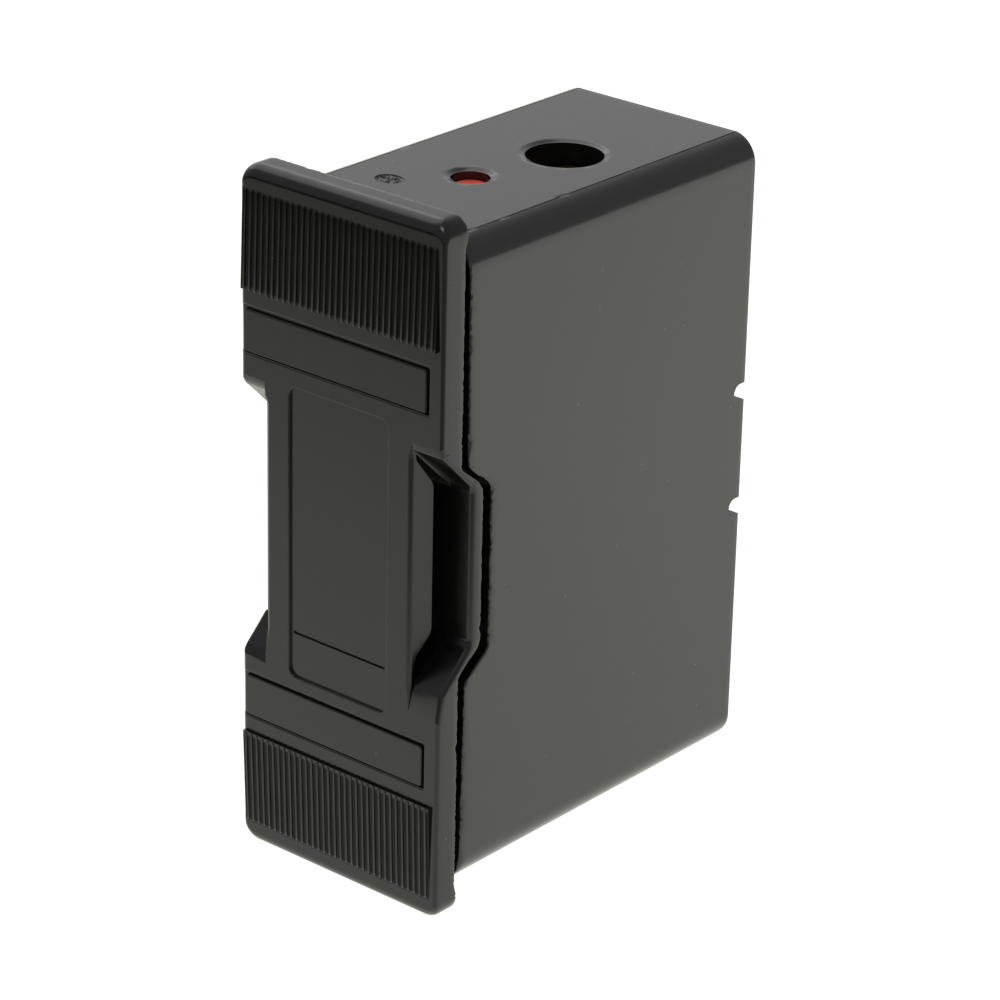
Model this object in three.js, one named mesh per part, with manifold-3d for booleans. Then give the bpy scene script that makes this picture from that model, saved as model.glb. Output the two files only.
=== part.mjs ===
// Cartridge fuse holder: a front-wired base with a pull-out carrier that holds an
// offset-tag cartridge fuse link. Millimetres. +Z runs up along the holder, the carrier
// faces -Y, and the origin is the centre of the flat mounting face at the back (Y = 0).
import * as THREE from 'three';
import { mergeVertices } from 'three/addons/utils/BufferGeometryUtils.js';
import Module from 'manifold-3d';

const wasm = await Module();
wasm.setup();

// ---- base housing -------------------------------------------------------------------
const BASE_WIDTH = 27.0;
const BASE_HEIGHT = 71.0;
const BASE_FRONT_Y = -46.4;
const BASE_CORNER_R = 2.6;
const SIDE_WALL = 2.3;
const END_WALL = 2.5;
const FLOOR_THICKNESS = 3.2;
const WAIST_CUT = { outerZ: 12.6, innerZ: 8.7, floorY: -42.4 };
const BACK_GROOVES = [[5.5, 7.5], [-8.1, -6.1]];
const BACK_GROOVE_DEPTH = 2.0;
const CABLE_HOLE = { x: 2.4, y: -18.7, r: 4.18, mouthR: 4.65, mouthDepth: 0.25 };
const SEAL_HOLE = { x: 0, y: -30.9, r: 2.08, mouthR: 2.62, mouthDepth: 0.3 };
const SEAL_FACE_Z = 34.4;
const SCREW_PAD = { x: 5.0, front: -36.5, back: -25.5, z: 29.8 };
const FIXING_HOLE = { z: 14.0, r: 2.3, headR: 4.5, headDepth: 1.2 };
const BARRIER = { z0: 20.5, z1: 22.0, y: -12.0 };

// ---- carrier ------------------------------------------------------------------------
const CARRIER_WIDTH = 28.2;
const CARRIER_HEIGHT = 77.2;
const CARRIER_CORNER_R = 2.2;
const CARRIER_EDGE_R = 1.2;
const CARRIER_FRONT_Y = -50.75;
const FLANGE_BACK_Y = -47.5;
const CORE = { x: 10.8, z: 32.6, y: -41.6 };
const SHROUD = { z: 21.5, y: -24.0, wall: 1.4 };
const RIM = { y: -44.2, outerZ: 12.0, innerZ: 8.4 };
const PLATE_HALF_WIDTH = 10.0;
const POCKET_CORE_X = 7.8;
const POCKET_PROFILE = [[-45.2, 8.6], [-50.2, 13.6], [-50.75, 15.1], [-52.0, 15.1]];
const UNDERCUT_PROFILE = [[-45.2, 8.3], [-50.2, 13.35], [-50.2, 12.6], [-47.6, 8.2]];
const RIB = { count: 33, pitch: 0.8, height: 0.35, proud: 0.45, z0: 25.2, z1: 36.05, lean: 0.034 };
const LABEL_RECESS = { x0: -12.9, x1: 12.2, z0: 18.2, z1: 23.4, depth: 0.35 };
const NAME_PANEL = { x: 6.8, z: 16.4, r: 1.0, depth: 0.3 };

// ---- fuse link ----------------------------------------------------------------------
const FUSE_AXIS_Y = -33.5;
const FUSE = { bodyR: 6.7, boreR: 4.6, bodyZ: 13.9, capR: 7.1, capZ: 14.4, capSkirt: 9.6 };
const BLADE_X = -5.0;
const TAG = { thick: 1.2, y0: -37.5, y1: -29.5, z0: 14.7, z1: 21.8 };

// ---- contacts and terminals ---------------------------------------------------------
const JAW = { gap: 0.95, thick: 1.0, y0: -36.2, y1: -28.0, z0: 22.9 };
const TAB = { x0: -8.2, x1: 1.9, y0: -36.5, y1: -26.5, z0: 27.6, z1: 29.5 };
const TERMINAL = { x0: -1.8, x1: 9.4, y0: -24.0, y1: -12.6, z0: 23.8, z1: 32.6 };
const TERMINAL_WINDOW = { x0: -0.6, x1: 7.6, y0: -21.8, y1: -14.4 };
const TERMINAL_SCREW = { x: 4.1, z: 27.4, r: 2.0, y0: -28.4, y1: -21.5 };

// ---- helpers ------------------------------------------------------------------------
const CIRCLE = 32;

function block(x0, x1, y0, y1, z0, z1) {
  const g = new THREE.BoxGeometry(x1 - x0, y1 - y0, z1 - z0);
  g.translate((x0 + x1) / 2, (y0 + y1) / 2, (z0 + z1) / 2);
  return g;
}

function outline(points) {
  return new THREE.Shape(points.map(([u, v]) => new THREE.Vector2(u, v)));
}

function extrude(shape, depth, options = {}) {
  return new THREE.ExtrudeGeometry(shape, { depth, bevelEnabled: false, curveSegments: 6, ...options });
}

// A side profile of [y, z] points, run along X.
function prismX(points, x0, x1) {
  const g = extrude(outline(points), x1 - x0);
  g.applyMatrix4(new THREE.Matrix4().set(0, 0, 1, x0, 1, 0, 0, 0, 0, 1, 0, 0, 0, 0, 0, 1));
  return g;
}

// A plan profile of [x, y] points, run along Z.
function prismZ(points, z0, z1) {
  const g = extrude(outline(points), z1 - z0);
  g.translate(0, 0, z0);
  return g;
}

// A front outline drawn in X and Z, run along Y from y0 to y1.
function plateY(shape, y0, y1, options) {
  const g = extrude(shape, y1 - y0, options);
  g.applyMatrix4(new THREE.Matrix4().set(1, 0, 0, 0, 0, 0, -1, y1, 0, 1, 0, 0, 0, 0, 0, 1));
  return g;
}

function roundedRect(halfX, halfZ, r) {
  const s = new THREE.Shape();
  s.moveTo(-halfX + r, -halfZ);
  s.lineTo(halfX - r, -halfZ);
  s.absarc(halfX - r, -halfZ + r, r, -Math.PI / 2, 0);
  s.lineTo(halfX, halfZ - r);
  s.absarc(halfX - r, halfZ - r, r, 0, Math.PI / 2);
  s.lineTo(-halfX + r, halfZ);
  s.absarc(-halfX + r, halfZ - r, r, Math.PI / 2, Math.PI);
  s.lineTo(-halfX, -halfZ + r);
  s.absarc(-halfX + r, -halfZ + r, r, Math.PI, Math.PI * 1.5);
  return s;
}

// A turned piece about Z: [radius, z] pairs that start and end on the axis.
function turned(profile, x, y, segments = CIRCLE) {
  const g = new THREE.LatheGeometry(profile.map(([r, z]) => new THREE.Vector2(r, z)), segments);
  g.rotateX(Math.PI / 2);
  g.translate(x, y, 0);
  return g;
}

// A turned piece about Y: [radius, y] pairs that start and end on the axis.
function turnedY(profile, x, z, segments = CIRCLE) {
  const g = new THREE.LatheGeometry(profile.map(([r, y]) => new THREE.Vector2(r, y)), segments);
  g.translate(x, 0, z);
  return g;
}

function rodZ(x, y, r, z0, z1) {
  return turned([[0, z0], [r, z0], [r, z1], [0, z1]], x, y);
}

function rodY(x, z, r, y0, y1) {
  return turnedY([[0, y0], [r, y0], [r, y1], [0, y1]], x, z);
}

function solid(geometry) {
  const g = geometry.clone();
  g.deleteAttribute('normal');
  g.deleteAttribute('uv');
  const merged = mergeVertices(g, 1e-4);
  const vertProperties = new Float32Array(merged.attributes.position.array);
  const triVerts = new Uint32Array(merged.index.array);
  let body = new wasm.Manifold(new wasm.Mesh({ numProp: 3, vertProperties, triVerts }));
  if (body.volume() < 0) {
    for (let i = 0; i < triVerts.length; i += 3) {
      [triVerts[i], triVerts[i + 1]] = [triVerts[i + 1], triVerts[i]];
    }
    body = new wasm.Manifold(new wasm.Mesh({ numProp: 3, vertProperties, triVerts }));
  }
  return body;
}

function join(...geometries) {
  return geometries.map(solid).reduce((a, b) => a.add(b));
}

function cut(body, ...geometries) {
  return geometries.reduce((a, g) => a.subtract(solid(g)), body);
}

function mirrorGeometry(geometry, x, z) {
  const g = geometry.clone();
  g.scale(x, 1, z);
  return g;
}

function toGeometry(body) {
  const mesh = body.getMesh();
  const g = new THREE.BufferGeometry();
  g.setAttribute('position', new THREE.BufferAttribute(new Float32Array(mesh.vertProperties), 3));
  g.setIndex(new THREE.BufferAttribute(new Uint32Array(mesh.triVerts), 1));
  g.computeVertexNormals();
  return g;
}

const LOOKS = {
  moulding: { color: 0x26282a, roughness: 0.42, metalness: 0.0 },
  seal: { color: 0xb03a33, roughness: 0.5, metalness: 0.0 },
  brass: { color: 0xc2a15a, roughness: 0.35, metalness: 1.0 },
  tinned: { color: 0xb9b7b0, roughness: 0.32, metalness: 1.0 },
  steel: { color: 0x9aa0a6, roughness: 0.3, metalness: 1.0 },
  ceramic: { color: 0xe9e6dc, roughness: 0.35, metalness: 0.0 },
};

const group = new THREE.Group();

function add(name, body, look) {
  const mesh = new THREE.Mesh(toGeometry(body), new THREE.MeshStandardMaterial(LOOKS[look]));
  mesh.name = name;
  group.add(mesh);
  return mesh;
}

// Adds the upper piece and its mirror image at the lower end of the holder.
function addPair(name, body, look) {
  add(`upper_${name}`, body, look);
  add(`lower_${name}`, body.mirror([0, 0, 1]), look);
}

// ---- base housing -------------------------------------------------------------------
function baseHousing() {
  const halfX = BASE_WIDTH / 2;
  const halfZ = BASE_HEIGHT / 2;
  let body = solid(plateY(roundedRect(halfX, halfZ, BASE_CORNER_R), BASE_FRONT_Y, 0));
  const insideX = halfX - SIDE_WALL;
  const insideZ = halfZ - END_WALL;
  body = cut(body, block(-insideX, insideX, BASE_FRONT_Y - 1, -FLOOR_THICKNESS, -insideZ, insideZ));

  // Both side walls step back behind the carrier's finger grips.
  const { outerZ, innerZ, floorY } = WAIST_CUT;
  const step = [[BASE_FRONT_Y - 1, outerZ + 1], [floorY, innerZ], [floorY, -innerZ], [BASE_FRONT_Y - 1, -outerZ - 1]];
  body = cut(body, prismX(step, -halfX - 1, halfX + 1));

  // Two grooves run across the back, with a rounded upper inner corner.
  for (const [z0, z1] of BACK_GROOVES) {
    const d = BACK_GROOVE_DEPTH;
    const profile = [[1, z0], [-d, z0], [-d, z1 - 0.7], [-d + 0.25, z1 - 0.2], [-d + 0.8, z1], [1, z1]];
    body = cut(body, prismX(profile, -halfX - 1, halfX + 1));
  }

  for (const side of [1, -1]) {
    const pad = block(-SCREW_PAD.x, SCREW_PAD.x, SCREW_PAD.front, SCREW_PAD.back, SCREW_PAD.z, insideZ + 0.5);
    const stand = block(1.0, 7.0, TERMINAL.y1 + 0.3, -FLOOR_THICKNESS + 0.5, 25.5, 31.0);
    const barrier = block(-insideX - 0.5, insideX + 0.5, BARRIER.y, -FLOOR_THICKNESS + 0.5, BARRIER.z0, BARRIER.z1);
    for (const piece of [pad, stand, barrier]) {
      body = body.add(solid(mirrorGeometry(piece, 1, side)));
    }
    const cable = turned([
      [0, insideZ - 1], [CABLE_HOLE.r, insideZ - 1], [CABLE_HOLE.r, halfZ - CABLE_HOLE.mouthDepth],
      [CABLE_HOLE.mouthR, halfZ], [CABLE_HOLE.mouthR, halfZ + 1], [0, halfZ + 1],
    ], CABLE_HOLE.x, CABLE_HOLE.y, 40);
    const seal = turned([
      [0, 31.3], [SEAL_HOLE.r, 31.3], [SEAL_HOLE.r, halfZ - SEAL_HOLE.mouthDepth],
      [SEAL_HOLE.mouthR, halfZ], [SEAL_HOLE.mouthR, halfZ + 1], [0, halfZ + 1],
    ], SEAL_HOLE.x, SEAL_HOLE.y);
    const clearance = rodZ(SEAL_HOLE.x, SEAL_HOLE.y, 1.6, SCREW_PAD.z - 1, 32);
    for (const tool of [cable, seal, clearance]) {
      body = cut(body, mirrorGeometry(tool, 1, side));
    }
    const z = side * FIXING_HOLE.z;
    const seat = -FLOOR_THICKNESS + FIXING_HOLE.headDepth;
    body = cut(body, rodY(0, z, FIXING_HOLE.r, -5, 1), rodY(0, z, FIXING_HOLE.headR, -5, seat));
  }
  return body;
}

// ---- carrier moulding ---------------------------------------------------------------
// The ribbed pad stands level with the face at its outer end and leans out towards the grip.
function ribField() {
  const half = (RIB.count * RIB.pitch) / 2;
  const lap = 0.05;
  const points = [[half + lap, 0], [half + lap, 1.2], [-half - lap, 1.2], [-half - lap, 0]];
  for (let i = 0; i < RIB.count; i += 1) {
    const x = -half + i * RIB.pitch;
    points.push([x + 0.1, 0], [x + 0.3, -RIB.height], [x + 0.5, -RIB.height], [x + 0.7, 0]);
  }
  const g = prismZ(points, -lap, RIB.z1 - RIB.z0 + lap);
  g.rotateX(-RIB.lean);
  g.translate(0, CARRIER_FRONT_Y + RIB.height - RIB.proud, RIB.z0);
  return g;
}

function ribBed() {
  const half = (RIB.count * RIB.pitch) / 2;
  const bed = block(-half, half, -3, 0.6, 0, RIB.z1 - RIB.z0);
  bed.rotateX(-RIB.lean);
  bed.translate(0, CARRIER_FRONT_Y + RIB.height - RIB.proud, RIB.z0);
  return bed;
}

function symmetricProfile(upper) {
  return [...upper, ...upper.map(([y, z]) => [y, -z]).reverse()];
}

function carrierBody() {
  const halfX = CARRIER_WIDTH / 2;
  const halfZ = CARRIER_HEIGHT / 2;
  const e = CARRIER_EDGE_R;
  const faceOutline = roundedRect(halfX - e, halfZ - e, CARRIER_CORNER_R - e);
  const rounded = plateY(faceOutline, CARRIER_FRONT_Y + e, FLANGE_BACK_Y + 2 * e, {
    bevelEnabled: true, bevelThickness: e, bevelSize: e, bevelSegments: 4,
  });
  let body = solid(rounded).intersect(solid(block(-20, 20, -60, FLANGE_BACK_Y, -50, 50)));

  // Solid core behind the flange, the thin rims at the grips, and the walls beside the fuse.
  body = body.add(solid(block(-CORE.x, CORE.x, FLANGE_BACK_Y - 1, CORE.y, -CORE.z, CORE.z)));
  const rim = [[FLANGE_BACK_Y - 0.5, RIM.outerZ + 0.5], [RIM.y, RIM.innerZ], [RIM.y, -RIM.innerZ],
    [FLANGE_BACK_Y - 0.5, -RIM.outerZ - 0.5]];
  body = body.add(solid(prismX(rim, -halfX, halfX)));
  for (const side of [1, -1]) {
    const wall = block(CORE.x - SHROUD.wall, CORE.x, CORE.y - 1, SHROUD.y, -SHROUD.z, SHROUD.z);
    body = body.add(solid(mirrorGeometry(wall, side, 1)));
    const cradle = block(-CORE.x + 0.5, CORE.x - 0.5, CORE.y - 1, -36.5, 5.0, 7.0);
    body = body.add(solid(mirrorGeometry(cradle, 1, side)));
  }
  body = cut(body, rodZ(0, FUSE_AXIS_Y, FUSE.capR + 0.5, -SHROUD.z, SHROUD.z));

  // Finger pockets: an open corner each side and a slot that reaches in behind the plate.
  for (const side of [1, -1]) {
    const corner = prismX(symmetricProfile(POCKET_PROFILE), PLATE_HALF_WIDTH, halfX + 1);
    const slot = prismX(symmetricProfile(UNDERCUT_PROFILE), POCKET_CORE_X, halfX + 1);
    body = cut(body, mirrorGeometry(corner, side, 1), mirrorGeometry(slot, side, 1));
  }

  // Front details: ribbed finger pads, two label recesses and the blank panel.
  for (const side of [1, -1]) {
    body = cut(body, mirrorGeometry(ribBed(), 1, side));
    body = body.add(solid(mirrorGeometry(ribField(), 1, side)));
    const { x0, x1, z0, z1, depth } = LABEL_RECESS;
    const label = block(x0, x1, CARRIER_FRONT_Y - 1, CARRIER_FRONT_Y + depth, z0, z1);
    body = cut(body, mirrorGeometry(label, 1, side));
  }
  const panel = roundedRect(NAME_PANEL.x, NAME_PANEL.z, NAME_PANEL.r);
  body = cut(body, plateY(panel, CARRIER_FRONT_Y - 1, CARRIER_FRONT_Y + NAME_PANEL.depth));

  // Blind holes for the two contact fixing screws.
  for (const side of [1, -1]) {
    body = cut(body, rodY(BLADE_X, side * 29.6, 1.5, -46.0, CORE.y + 1));
  }
  return body;
}

// ---- contacts -----------------------------------------------------------------------
function jawLeaf(side, z0) {
  const near = side * JAW.gap;
  const far = side * (JAW.gap + JAW.thick);
  const lead = side * 1.1;
  const plan = [
    [near, JAW.y1], [near, JAW.y0 + 1.2], [near + lead, JAW.y0 - 0.3],
    [far + lead, JAW.y0 - 0.3], [far, JAW.y0 + 1.2], [far, JAW.y1],
  ];
  return prismZ(plan.map(([x, y]) => [x + BLADE_X, y]), z0, TAB.z0 + 0.5);
}

function fixedContact() {
  const left = BLADE_X - JAW.gap - JAW.thick;
  let body = join(
    block(TAB.x0, TAB.x1, TAB.y0, TAB.y1, TAB.z0, TAB.z1),
    jawLeaf(1, JAW.z0),
    jawLeaf(-1, JAW.z0),
    block(left, left + JAW.thick, -31.0, JAW.y1, 22.4, JAW.z0 + 1),
    block(left, left + JAW.thick, -29.5, -26.0, 22.4, TAB.z0 + 0.5),
    block(left, 6.8, -27.4, -14.9, 22.4, 23.4),
    block(0.2, 6.8, -15.9, -14.9, 22.4, 31.0),
  );
  body = cut(body, rodZ(SEAL_HOLE.x, SEAL_HOLE.y, 1.5, 27.95, TAB.z1 + 1));
  return body;
}

function jawSpring() {
  const inner = JAW.gap + JAW.thick + 0.15;
  const legs = [1, -1].map((side) => {
    const a = BLADE_X + side * inner;
    const b = BLADE_X + side * (inner + 0.5);
    return block(Math.min(a, b), Math.max(a, b), -34.6, -31.6, 22.2, 26.8);
  });
  const bridge = block(BLADE_X - inner - 0.5, BLADE_X + inner + 0.5, -34.6, -31.6, 22.2, 22.65);
  return join(bridge, ...legs);
}

function terminalBlock() {
  const t = TERMINAL;
  const w = TERMINAL_WINDOW;
  const body = solid(block(t.x0, t.x1, t.y0, t.y1, t.z0, t.z1));
  return cut(
    body,
    block(w.x0, w.x1, w.y0, w.y1, t.z0 - 1, t.z1 + 1),
    rodY(TERMINAL_SCREW.x, TERMINAL_SCREW.z, TERMINAL_SCREW.r + 0.08, t.y0 - 1, w.y0 + 0.5),
  );
}

function terminalScrew() {
  const s = TERMINAL_SCREW;
  const shank = turnedY([
    [0, s.y0], [s.r - 0.4, s.y0], [s.r, s.y0 + 0.4], [s.r, s.y1 - 0.7], [s.r - 0.6, s.y1], [0, s.y1],
  ], s.x, s.z);
  return cut(solid(shank), block(s.x - 3, s.x + 3, s.y0 - 1, s.y0 + 1.3, s.z - 0.4, s.z + 0.4));
}

function contactScrew() {
  const { x, y } = SEAL_HOLE;
  const screw = turned([[0, 28.1], [1.4, 28.1], [1.4, 31.6], [1.95, 31.6], [1.95, 33.0], [0, 33.0]], x, y);
  return cut(solid(screw), block(x - 3, x + 3, y - 0.3, y + 0.3, 32.3, 34));
}

function sealingPlug() {
  const { x, y, r } = SEAL_HOLE;
  const z = SEAL_FACE_Z;
  return solid(turned([
    [0, 33.2], [r - 0.1, 33.2], [r - 0.1, z - 0.15], [r - 0.25, z], [0.3, z], [0.2, z - 0.15], [0, z - 0.15],
  ], x, y));
}

function carrierContact() {
  const x = BLADE_X;
  const leaf = (side) => {
    const a = x + side * 0.75;
    const b = x + side * 1.55;
    const plan = [[a, -40.6], [a, -31.0], [a + side * 0.9, -29.4], [b + side * 0.9, -29.4], [b, -31.0], [b, -40.6]];
    return prismZ(plan, 16.8, 21.4);
  };
  const bladePlan = [
    [x - 0.75, -40.6], [x + 0.75, -40.6], [x + 0.75, -30.4], [x + 0.3, -29.6], [x - 0.3, -29.6], [x - 0.75, -30.4],
  ];
  const body = join(
    block(x - 3.2, x + 3.2, -41.3, -40.3, 16.8, 32.0),
    leaf(1),
    leaf(-1),
    prismZ(bladePlan, 23.9, 27.1),
  );
  return cut(body, rodY(x, 29.6, 1.6, -42, -39));
}

function carrierScrew() {
  const profile = [[0, -45.4], [1.3, -45.4], [1.3, -40.0], [2.2, -40.0], [2.2, -38.9], [1.7, -38.5], [0, -38.5]];
  const screw = turnedY(profile, BLADE_X, 29.6);
  return cut(solid(screw), block(BLADE_X - 3, BLADE_X + 3, -39.1, -38, 29.3, 29.9));
}

function clipSpring() {
  const legs = [1, -1].map((side) => {
    const a = BLADE_X + side * 1.7;
    const b = BLADE_X + side * 2.15;
    return block(Math.min(a, b), Math.max(a, b), -39.9, -33.0, 16.0, 20.6);
  });
  return join(block(BLADE_X - 2.15, BLADE_X + 2.15, -39.9, -38.0, 16.0, 16.45), ...legs);
}

// ---- fuse link ----------------------------------------------------------------------
function fuseBody() {
  const { bodyR, boreR, bodyZ } = FUSE;
  return cut(solid(rodZ(0, FUSE_AXIS_Y, bodyR, -bodyZ, bodyZ)), rodZ(0, FUSE_AXIS_Y, boreR, -bodyZ - 1, bodyZ + 1));
}

function endCap() {
  const { capR, capZ, capSkirt, bodyR } = FUSE;
  return solid(turned([
    [0, capZ - 0.4], [bodyR + 0.1, capZ - 0.4], [bodyR + 0.1, capSkirt], [capR, capSkirt],
    [capR, capZ - 0.3], [capR - 0.3, capZ], [0, capZ],
  ], 0, FUSE_AXIS_Y));
}

function fuseTag() {
  const x0 = BLADE_X - TAG.thick / 2;
  const blade = prismX([
    [TAG.y0, TAG.z0], [TAG.y1, TAG.z0], [TAG.y1, TAG.z1 - 1], [TAG.y1 - 1, TAG.z1],
    [TAG.y0 + 1, TAG.z1], [TAG.y0, TAG.z1 - 1],
  ], x0, x0 + TAG.thick);
  return join(blade, block(x0, 3.2, -36.3, -30.7, TAG.z0, TAG.z0 + 1.2));
}

function fuseElement() {
  const strip = block(-1.6, 1.6, FUSE_AXIS_Y - 0.15, FUSE_AXIS_Y + 0.15, -13.6, 13.6);
  const necks = [-8, -4, 0, 4, 8].flatMap((z) => [1, -1].map((side) => (
    block(Math.min(side * 0.6, side * 2), Math.max(side * 0.6, side * 2),
      FUSE_AXIS_Y - 1, FUSE_AXIS_Y + 1, z - 0.5, z + 0.5)
  )));
  return cut(solid(strip), ...necks);
}

add('base_housing', baseHousing(), 'moulding');
add('carrier_body', carrierBody(), 'moulding');
add('fuse_body', fuseBody(), 'ceramic');
add('fuse_element', fuseElement(), 'tinned');
addPair('end_cap', endCap(), 'tinned');
addPair('fuse_tag', fuseTag(), 'tinned');
addPair('carrier_contact', carrierContact(), 'tinned');
addPair('clip_spring', clipSpring(), 'steel');
addPair('carrier_screw', carrierScrew(), 'steel');
addPair('fixed_contact', fixedContact(), 'tinned');
addPair('jaw_spring', jawSpring(), 'steel');
addPair('terminal_block', terminalBlock(), 'brass');
addPair('clamp_plate', solid(block(-0.1, 7.1, -21.2, -20.2, 24.4, 32.0)), 'steel');
addPair('terminal_screw', terminalScrew(), 'steel');
addPair('contact_screw', contactScrew(), 'steel');
addPair('sealing_plug', sealingPlug(), 'seal');

export default group;
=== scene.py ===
"""Cartridge fuse holder: the visual model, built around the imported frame.

Pieces are shaped in millimetres in the row frame and turned into metres when they are done.
"""
import math

import bmesh
import bpy
from mathutils import Matrix, Vector, noise


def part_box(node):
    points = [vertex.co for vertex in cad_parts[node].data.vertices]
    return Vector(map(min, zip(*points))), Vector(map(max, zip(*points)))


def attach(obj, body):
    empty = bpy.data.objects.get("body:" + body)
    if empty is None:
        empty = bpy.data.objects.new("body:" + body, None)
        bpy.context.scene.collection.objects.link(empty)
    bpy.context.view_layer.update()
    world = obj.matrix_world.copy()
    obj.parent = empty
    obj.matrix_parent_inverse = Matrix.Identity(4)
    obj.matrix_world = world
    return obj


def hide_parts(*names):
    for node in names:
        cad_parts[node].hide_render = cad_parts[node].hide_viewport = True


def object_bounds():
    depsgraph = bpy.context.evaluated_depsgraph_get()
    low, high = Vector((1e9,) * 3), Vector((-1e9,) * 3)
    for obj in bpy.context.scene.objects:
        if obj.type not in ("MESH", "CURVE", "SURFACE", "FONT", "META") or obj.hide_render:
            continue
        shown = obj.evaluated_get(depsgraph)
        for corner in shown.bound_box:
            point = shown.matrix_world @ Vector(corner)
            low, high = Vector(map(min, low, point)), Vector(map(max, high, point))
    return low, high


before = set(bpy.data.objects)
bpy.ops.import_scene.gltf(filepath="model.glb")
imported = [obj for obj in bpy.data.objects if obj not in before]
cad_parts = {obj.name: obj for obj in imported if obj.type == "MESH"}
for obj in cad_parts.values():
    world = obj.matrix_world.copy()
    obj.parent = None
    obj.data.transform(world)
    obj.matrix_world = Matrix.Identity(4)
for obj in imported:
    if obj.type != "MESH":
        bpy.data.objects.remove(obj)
cad_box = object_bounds()
scene = bpy.context.scene

MM = 0.001
SHARP_ANGLE = math.radians(33)

# ---- sizes, in millimetres ----------------------------------------------------------

# Base housing. Its walls and floor, the seam step between the grips, and the grooves across its back.
BASE_CORNER_R = 3.2
BASE_CREASE = math.radians(9.9)
BASE_BACK_EDGE_R = 0.35
BASE_SEAM_EDGE_R = 0.3
BASE_INNER_R = 0.7
SIDE_WALL = 2.3
END_WALL = 2.5
LOWER_END = {"growth": 0.55, "start": -31.5, "over": 0.7}
FLOOR = -3.2
WALL_BOW = 0.4
BASE_WAIST = {"inner": 8.6, "outer": 12.5, "middle": -0.55, "y": -42.4}
BACK_GROOVES = ((5.5, 7.5), (-8.1, -6.1))
GROOVE_DEPTH = 2.0
CABLE_HOLE = {"x": 2.4, "y": -18.7, "r": 4.18, "mouth": 4.62, "dish": 0.1}
SEAL_HOLE = {"x": 0.0, "y": -30.9, "r": 2.08, "mouth": 2.6, "dish": 0.14}
CONTACT_SCREW_R = 1.6
FIXING_HOLE = {"z": 14.0, "r": 2.3, "seat_r": 4.5, "seat_depth": 1.2}
MARK = {"x": -5.25, "y": -37.5, "rx": 1.55, "ry": 1.3, "depth": 0.13}

# Carrier flange. Keys 1 and -1 are the right and left side.
FLANGE_X = (-13.78, 14.1)
FLANGE_CORNER_R = 2.0
FLANGE_EDGE_R = 1.5
FLANGE_SIDE_EDGE_R = {1: 0.42, -1: 0.85}
FLANGE_BACK_EDGE_R = 0.2
FRONT_Y = -50.75
FLANGE_BACK_Y = -47.2
SIDE_REBATE = 0.42
RIM_WAIST = {"inner": 8.2, "outer": 11.9, "middle": 0.4, "y": -43.85}

# Carrier behind the flange: core, walls round the fuse link, and the contacts' screw holes.
CORE = {"x": 10.8, "z": 32.6, "y": -41.6}
SHROUD = {"z": 21.5, "y": -24.0, "wall": 1.4}
FUSE_BED = {"r": 7.6, "y": -33.5}
CARRIER_SCREW = {"x": -5.0, "z": 29.6, "r": 1.5, "end_y": -46.0}

# Finger pockets beside the middle plate. Each end: the floor's end Z, then Y and Z where the slope
# turns, then the Z where it meets the face, and the radii of those two turns.
PLATE_X = {1: 10.0, -1: 10.2}
PLATE_DRAFT = math.tan(math.radians(12))
PLATE_EDGE = {"r": 0.6, "z": 14.8}
SLOT_X = 7.8
SLOT_REACH = 1.3
POCKET_FLOOR_Y = -45.9
POCKET_FLOOR_R = 1.5
POCKET_RIM_R = 0.55
POCKET_ENDS = {
    1: {"upper": ((9.3, -50.62, 14.0), 14.8, (0.3, 0.3)),
        "lower": ((8.1, -50.2, 12.35), 15.2, (0.6, 0.3))},
    -1: {"upper": ((10.25, -48.5, 12.9), 15.05, (0.1, 2.6)),
         "lower": ((11.05, -48.5, 13.65), 15.8, (0.1, 2.6))},
}

# Relief on the front face. The rib mask is where the grooves' matt look and painted shade fade in,
# from the first limit to the second: height from the middle, distance from the middle, share of a pitch.
RIBS = {"count": 33, "pitch": 0.8, "height": 0.1, "proud": 0.45, "z0": 25.2, "z1": 36.05, "lean": 0.034}
RIB_MASK = {"near": (25.5, 25.7), "far": (36.0, 35.8), "side": (13.25, 13.2), "crest": (0.135, 0.17)}
# The grooves' specular level: their matt finish, and painted shade for the shade between the ribs.
GROOVE_SPECULAR = 0.12
RECESS_FLOOR_R = 0.08
LABEL = {"x0": -12.9, "x1": 12.2, "z0": 18.2, "z1": 23.4, "depth": 0.5, "gap": 0.45, "floor": 0.14,
         "mouth": 0.2}
PANEL = {"x": 6.8, "z0": -16.6, "z1": 16.1, "r": 1.0, "depth": 0.32, "mouth": 0.16, "line_z": -11.56}

# Small pieces
PLUG = {"r": 2.0, "inner_z": 33.2}
FUSE_BORE_R = 4.6
CAP_WALL = 0.35
SHOULDER_ANGLES = (0, 0.4, 0.8, 1.2, math.pi / 2)
ENDS = ((1, "upper"), (-1, "lower"))


# ---- mesh helpers -------------------------------------------------------------------

def mesh_object(name, verts, faces):
    """A closed solid in millimetres, with its faces pointing out."""
    mesh = bpy.data.meshes.new(name)
    bm = bmesh.new()
    points = [bm.verts.new(v) for v in verts]
    for face in faces:
        bm.faces.new([points[i] for i in face])
    bmesh.ops.recalc_face_normals(bm, faces=bm.faces)
    bm.to_mesh(mesh)
    bm.free()
    obj = bpy.data.objects.new(name, mesh)
    scene.collection.objects.link(obj)
    return obj


def loft(name, rings, last_cap=None):
    """A skin over closed rings of equal counts. The last cap is a list of faces, or one flat polygon."""
    n = len(rings[0])
    faces = [
        (k * n + i, k * n + (i + 1) % n, (k + 1) * n + (i + 1) % n, (k + 1) * n + i)
        for k in range(len(rings) - 1)
        for i in range(n)
    ]
    last = (len(rings) - 1) * n
    faces.append(tuple(range(n)))
    faces += [tuple(last + i for i in face) for face in (last_cap or [tuple(range(n))])]
    return mesh_object(name, [p for ring in rings for p in ring], faces)


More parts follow.
